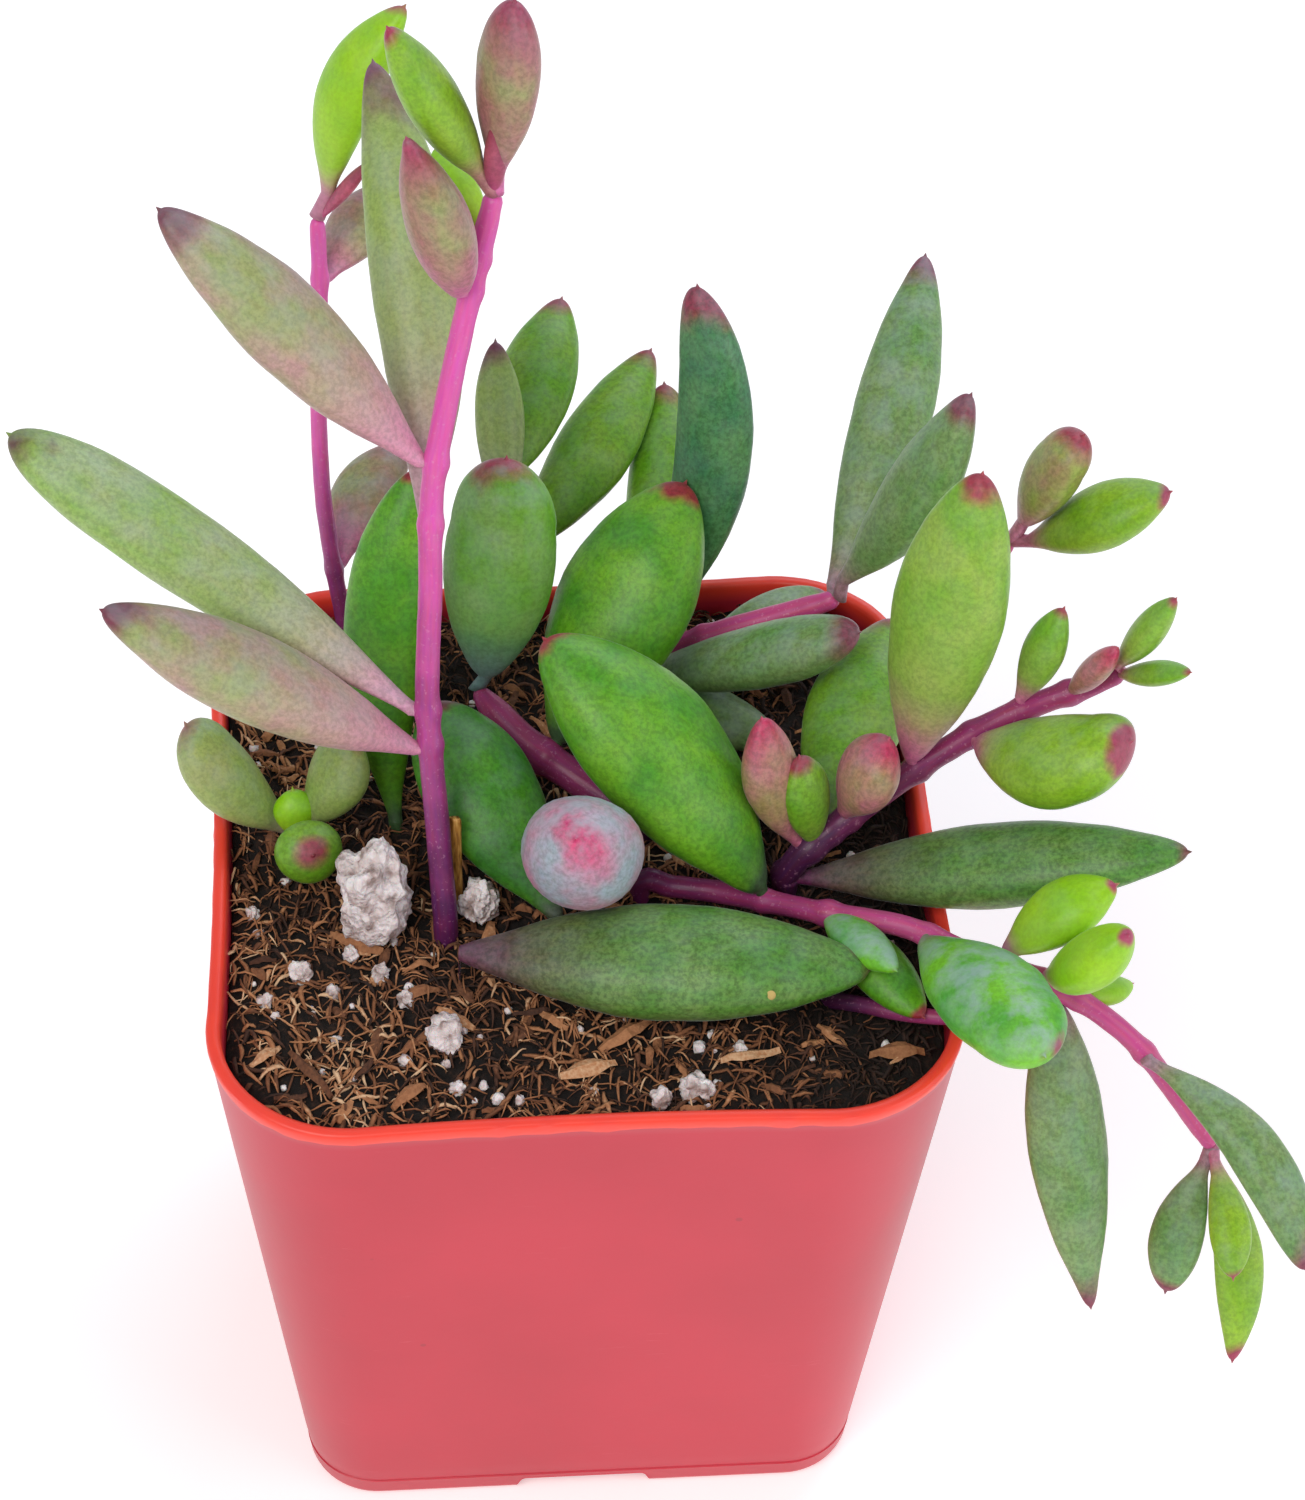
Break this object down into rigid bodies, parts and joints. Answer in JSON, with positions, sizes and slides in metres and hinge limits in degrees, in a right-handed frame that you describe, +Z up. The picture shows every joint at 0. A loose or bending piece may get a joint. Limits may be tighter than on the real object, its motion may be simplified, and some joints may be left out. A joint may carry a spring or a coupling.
{
  "type": "potted crassula",
  "caption": "Trailing succulent with plump spindle leaves on magenta stems, rooted in peat in a small square tapered nursery pot.",
  "frame": {"origin": "middle of the pot's underside, on the surface that it stands on", "axes": "+Z up along the pot's axis; the pot's sides face X and Y; the stem that trails over the rim hangs past the +X side, towards -Y"},
  "size_m": [0.1053, 0.0878, 0.1394],
  "materials": {
    "coral_plastic": "injection-moulded polypropylene, satin, faintly scuffed",
    "peat": "dark fibrous peat, dry, with bark crumbs",
    "perlite": "white expanded volcanic glass, chalky",
    "straw": "dry straw",
    "magenta_stem": "smooth living stem, waxy",
    "purple_stem": "smooth living stem, waxy",
    "bright_green": "succulent leaf skin, waxy bloom",
    "grey_green": "succulent leaf skin, waxy bloom",
    "blue_green": "succulent leaf skin, waxy bloom",
    "rose_leaf": "sun-blushed succulent leaf skin, waxy bloom"
  },
  "bodies": {
    "root": {"pot": "coral_plastic", "soil": "peat", "tall_stem": "magenta_stem", "slender_stem": "magenta_stem", "thick_stem": "purple_stem", "rear_stem": "magenta_stem", "crown_stem": "purple_stem", "right_stem": "purple_stem", "side_stem": "magenta_stem", "trailing_stem": "magenta_stem", "offset_stem": "purple_stem", "straw": "straw", "tall_leaf_1": "rose_leaf", "tall_leaf_2": "grey_green", "tall_leaf_3": "rose_leaf", "tall_leaf_4": "grey_green", "tall_leaf_5": "rose_leaf", "tall_leaf_6": "bright_green", "tall_leaf_7": "rose_leaf", "slender_leaf_1": "bright_green", "slender_leaf_2": "rose_leaf", "slender_leaf_3": "rose_leaf", "thick_leaf_1": "blue_green", "thick_leaf_2": "bright_green", "rear_leaf_1": "blue_green", "rear_leaf_2": "bright_green", "rear_leaf_3": "blue_green", "rear_leaf_4": "grey_green", "rear_leaf_5": "blue_green", "rear_leaf_6": "grey_green", "crown_leaf_1": "bright_green", "crown_leaf_2": "bright_green", "right_leaf_1": "bright_green", "right_leaf_2": "bright_green", "right_leaf_3": "grey_green", "right_leaf_4": "bright_green", "right_leaf_5": "rose_leaf", "right_leaf_6": "rose_leaf", "right_leaf_7": "blue_green", "right_leaf_8": "blue_green", "side_leaf_1": "rose_leaf", "side_leaf_2": "bright_green", "trailing_leaf_1": "bright_green", "trailing_leaf_2": "blue_green", "trailing_leaf_3": "bright_green", "trailing_leaf_4": "bright_green", "trailing_leaf_5": "blue_green", "trailing_leaf_6": "blue_green", "trailing_leaf_7": "blue_green", "trailing_leaf_8": "bright_green", "trailing_leaf_9": "bright_green", "offset_leaf_1": "blue_green", "offset_leaf_2": "grey_green", "offset_leaf_3": "bright_green", "ground_leaf_1": "bright_green", "ground_leaf_2": "blue_green", "ground_leaf_3": "blue_green", "ground_leaf_4": "blue_green", "perlite_large": "perlite", "perlite_small": "perlite"}
  },
  "joints": []
}
